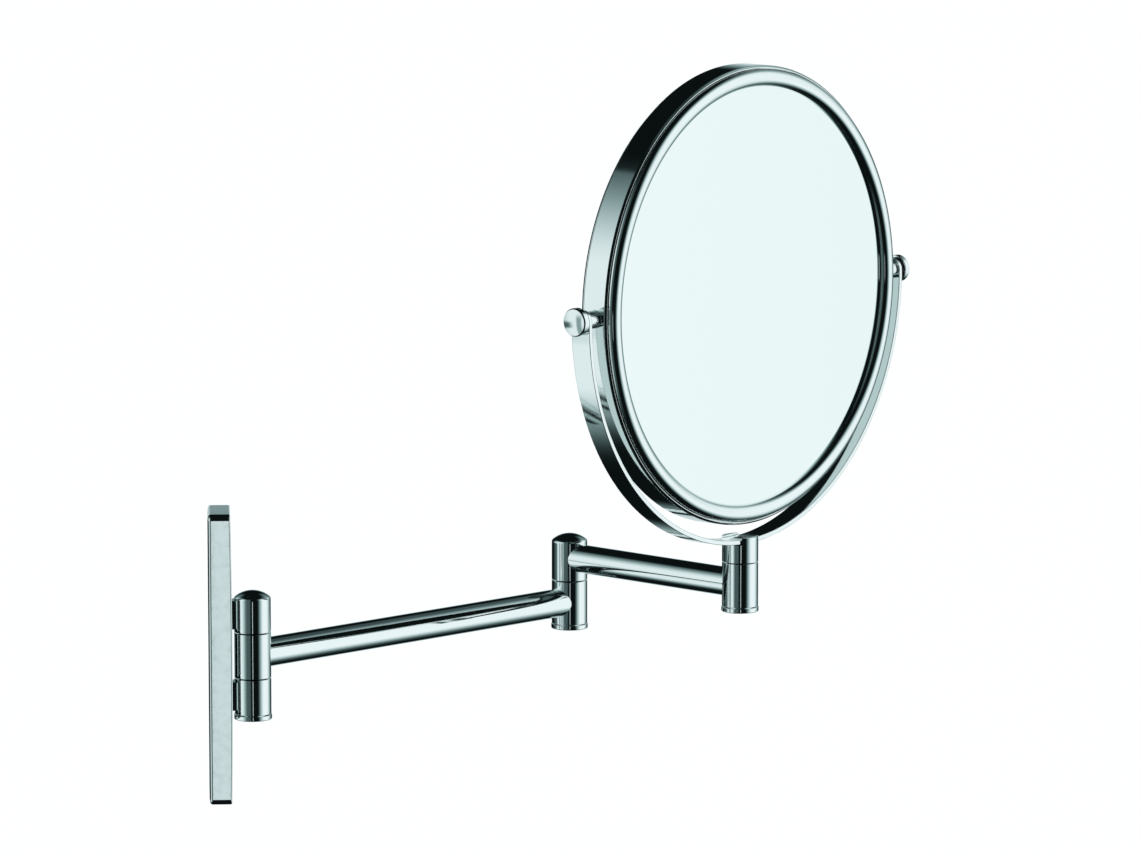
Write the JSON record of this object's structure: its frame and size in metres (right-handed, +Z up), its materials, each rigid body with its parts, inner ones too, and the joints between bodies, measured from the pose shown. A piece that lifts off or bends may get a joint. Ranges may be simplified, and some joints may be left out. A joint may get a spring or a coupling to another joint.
{
  "type": "extendable shaving mirror",
  "caption": "Wall-mounted round shaving mirror on a folding two-part swing arm, tilting between two knobs in a U-shaped yoke.",
  "frame": {"origin": "centre of the wall plate's back face, on the wall", "axes": "+Y into the wall, -Y out into the room, +Z up, +X to the right for a person who faces the wall"},
  "size_m": [0.1743, 0.3137, 0.3103],
  "materials": {
    "chrome": "polished chrome plate on brass",
    "steel": "zinc-plated steel",
    "sheet_steel": "plain stainless sheet",
    "nylon": "black nylon",
    "silvered_glass": "back-silvered glass",
    "grey_plastic": "moulded plastic"
  },
  "bodies": {
    "wall_mount": {"wall_plate": "chrome", "wall_bracket": "sheet_steel", "plate_grub_screw": "steel", "upper_knuckle": "chrome", "lower_knuckle": "chrome", "upper_knuckle_screw": "steel", "lower_knuckle_screw": "steel", "wall_pin": "steel", "wall_cap": "chrome", "wall_disc_spring": "steel", "wall_upper_washer": "nylon", "wall_lower_washer": "nylon"},
    "arm_1": {"arm1_wall_barrel": "chrome", "arm1_tube": "chrome", "arm1_elbow_barrel": "chrome", "elbow_washer": "nylon"},
    "arm_2": {"arm2_elbow_barrel": "chrome", "arm2_tube": "chrome", "arm2_head_barrel": "chrome", "elbow_pin": "steel", "elbow_cap": "chrome", "elbow_disc_spring": "steel", "head_washer": "nylon"},
    "yoke": {"yoke_post": "chrome", "yoke_band": "chrome", "yoke_screw": "steel", "head_pin": "steel", "head_cap": "chrome", "head_disc_spring": "steel"},
    "mirror": {"rim_band": "chrome", "front_bezel": "chrome", "rear_bezel": "chrome", "front_glass": "silvered_glass", "rear_glass": "silvered_glass", "glass_carrier": "grey_plastic", "left_knob": "chrome", "left_knob_washer": "nylon", "left_spacer": "chrome", "left_pivot_nut": "steel", "right_knob": "chrome", "right_knob_washer": "nylon", "right_spacer": "chrome", "right_pivot_nut": "steel"}
  },
  "joints": [
    {"name": "wall_swivel", "type": "hinge", "parent": "wall_mount", "child": "arm_1", "pos_m": [0, -0.0187, 0], "axis": [0, 0, 1], "range_deg": [-130, 50]},
    {"name": "elbow_swivel", "type": "hinge", "parent": "arm_1", "child": "arm_2", "pos_m": [0.11956, -0.16118, 0.01], "axis": [0, 0, 1], "continuous": true},
    {"name": "head_swivel", "type": "hinge", "parent": "arm_2", "child": "yoke", "pos_m": [0.04885, -0.23189, 0.03], "axis": [0, 0, 1], "continuous": true},
    {"name": "mirror_tilt", "type": "hinge", "parent": "yoke", "child": "mirror", "pos_m": [0.04885, -0.23189, 0.1473], "axis": [0.7314, -0.682, 0], "continuous": true}
  ]
}
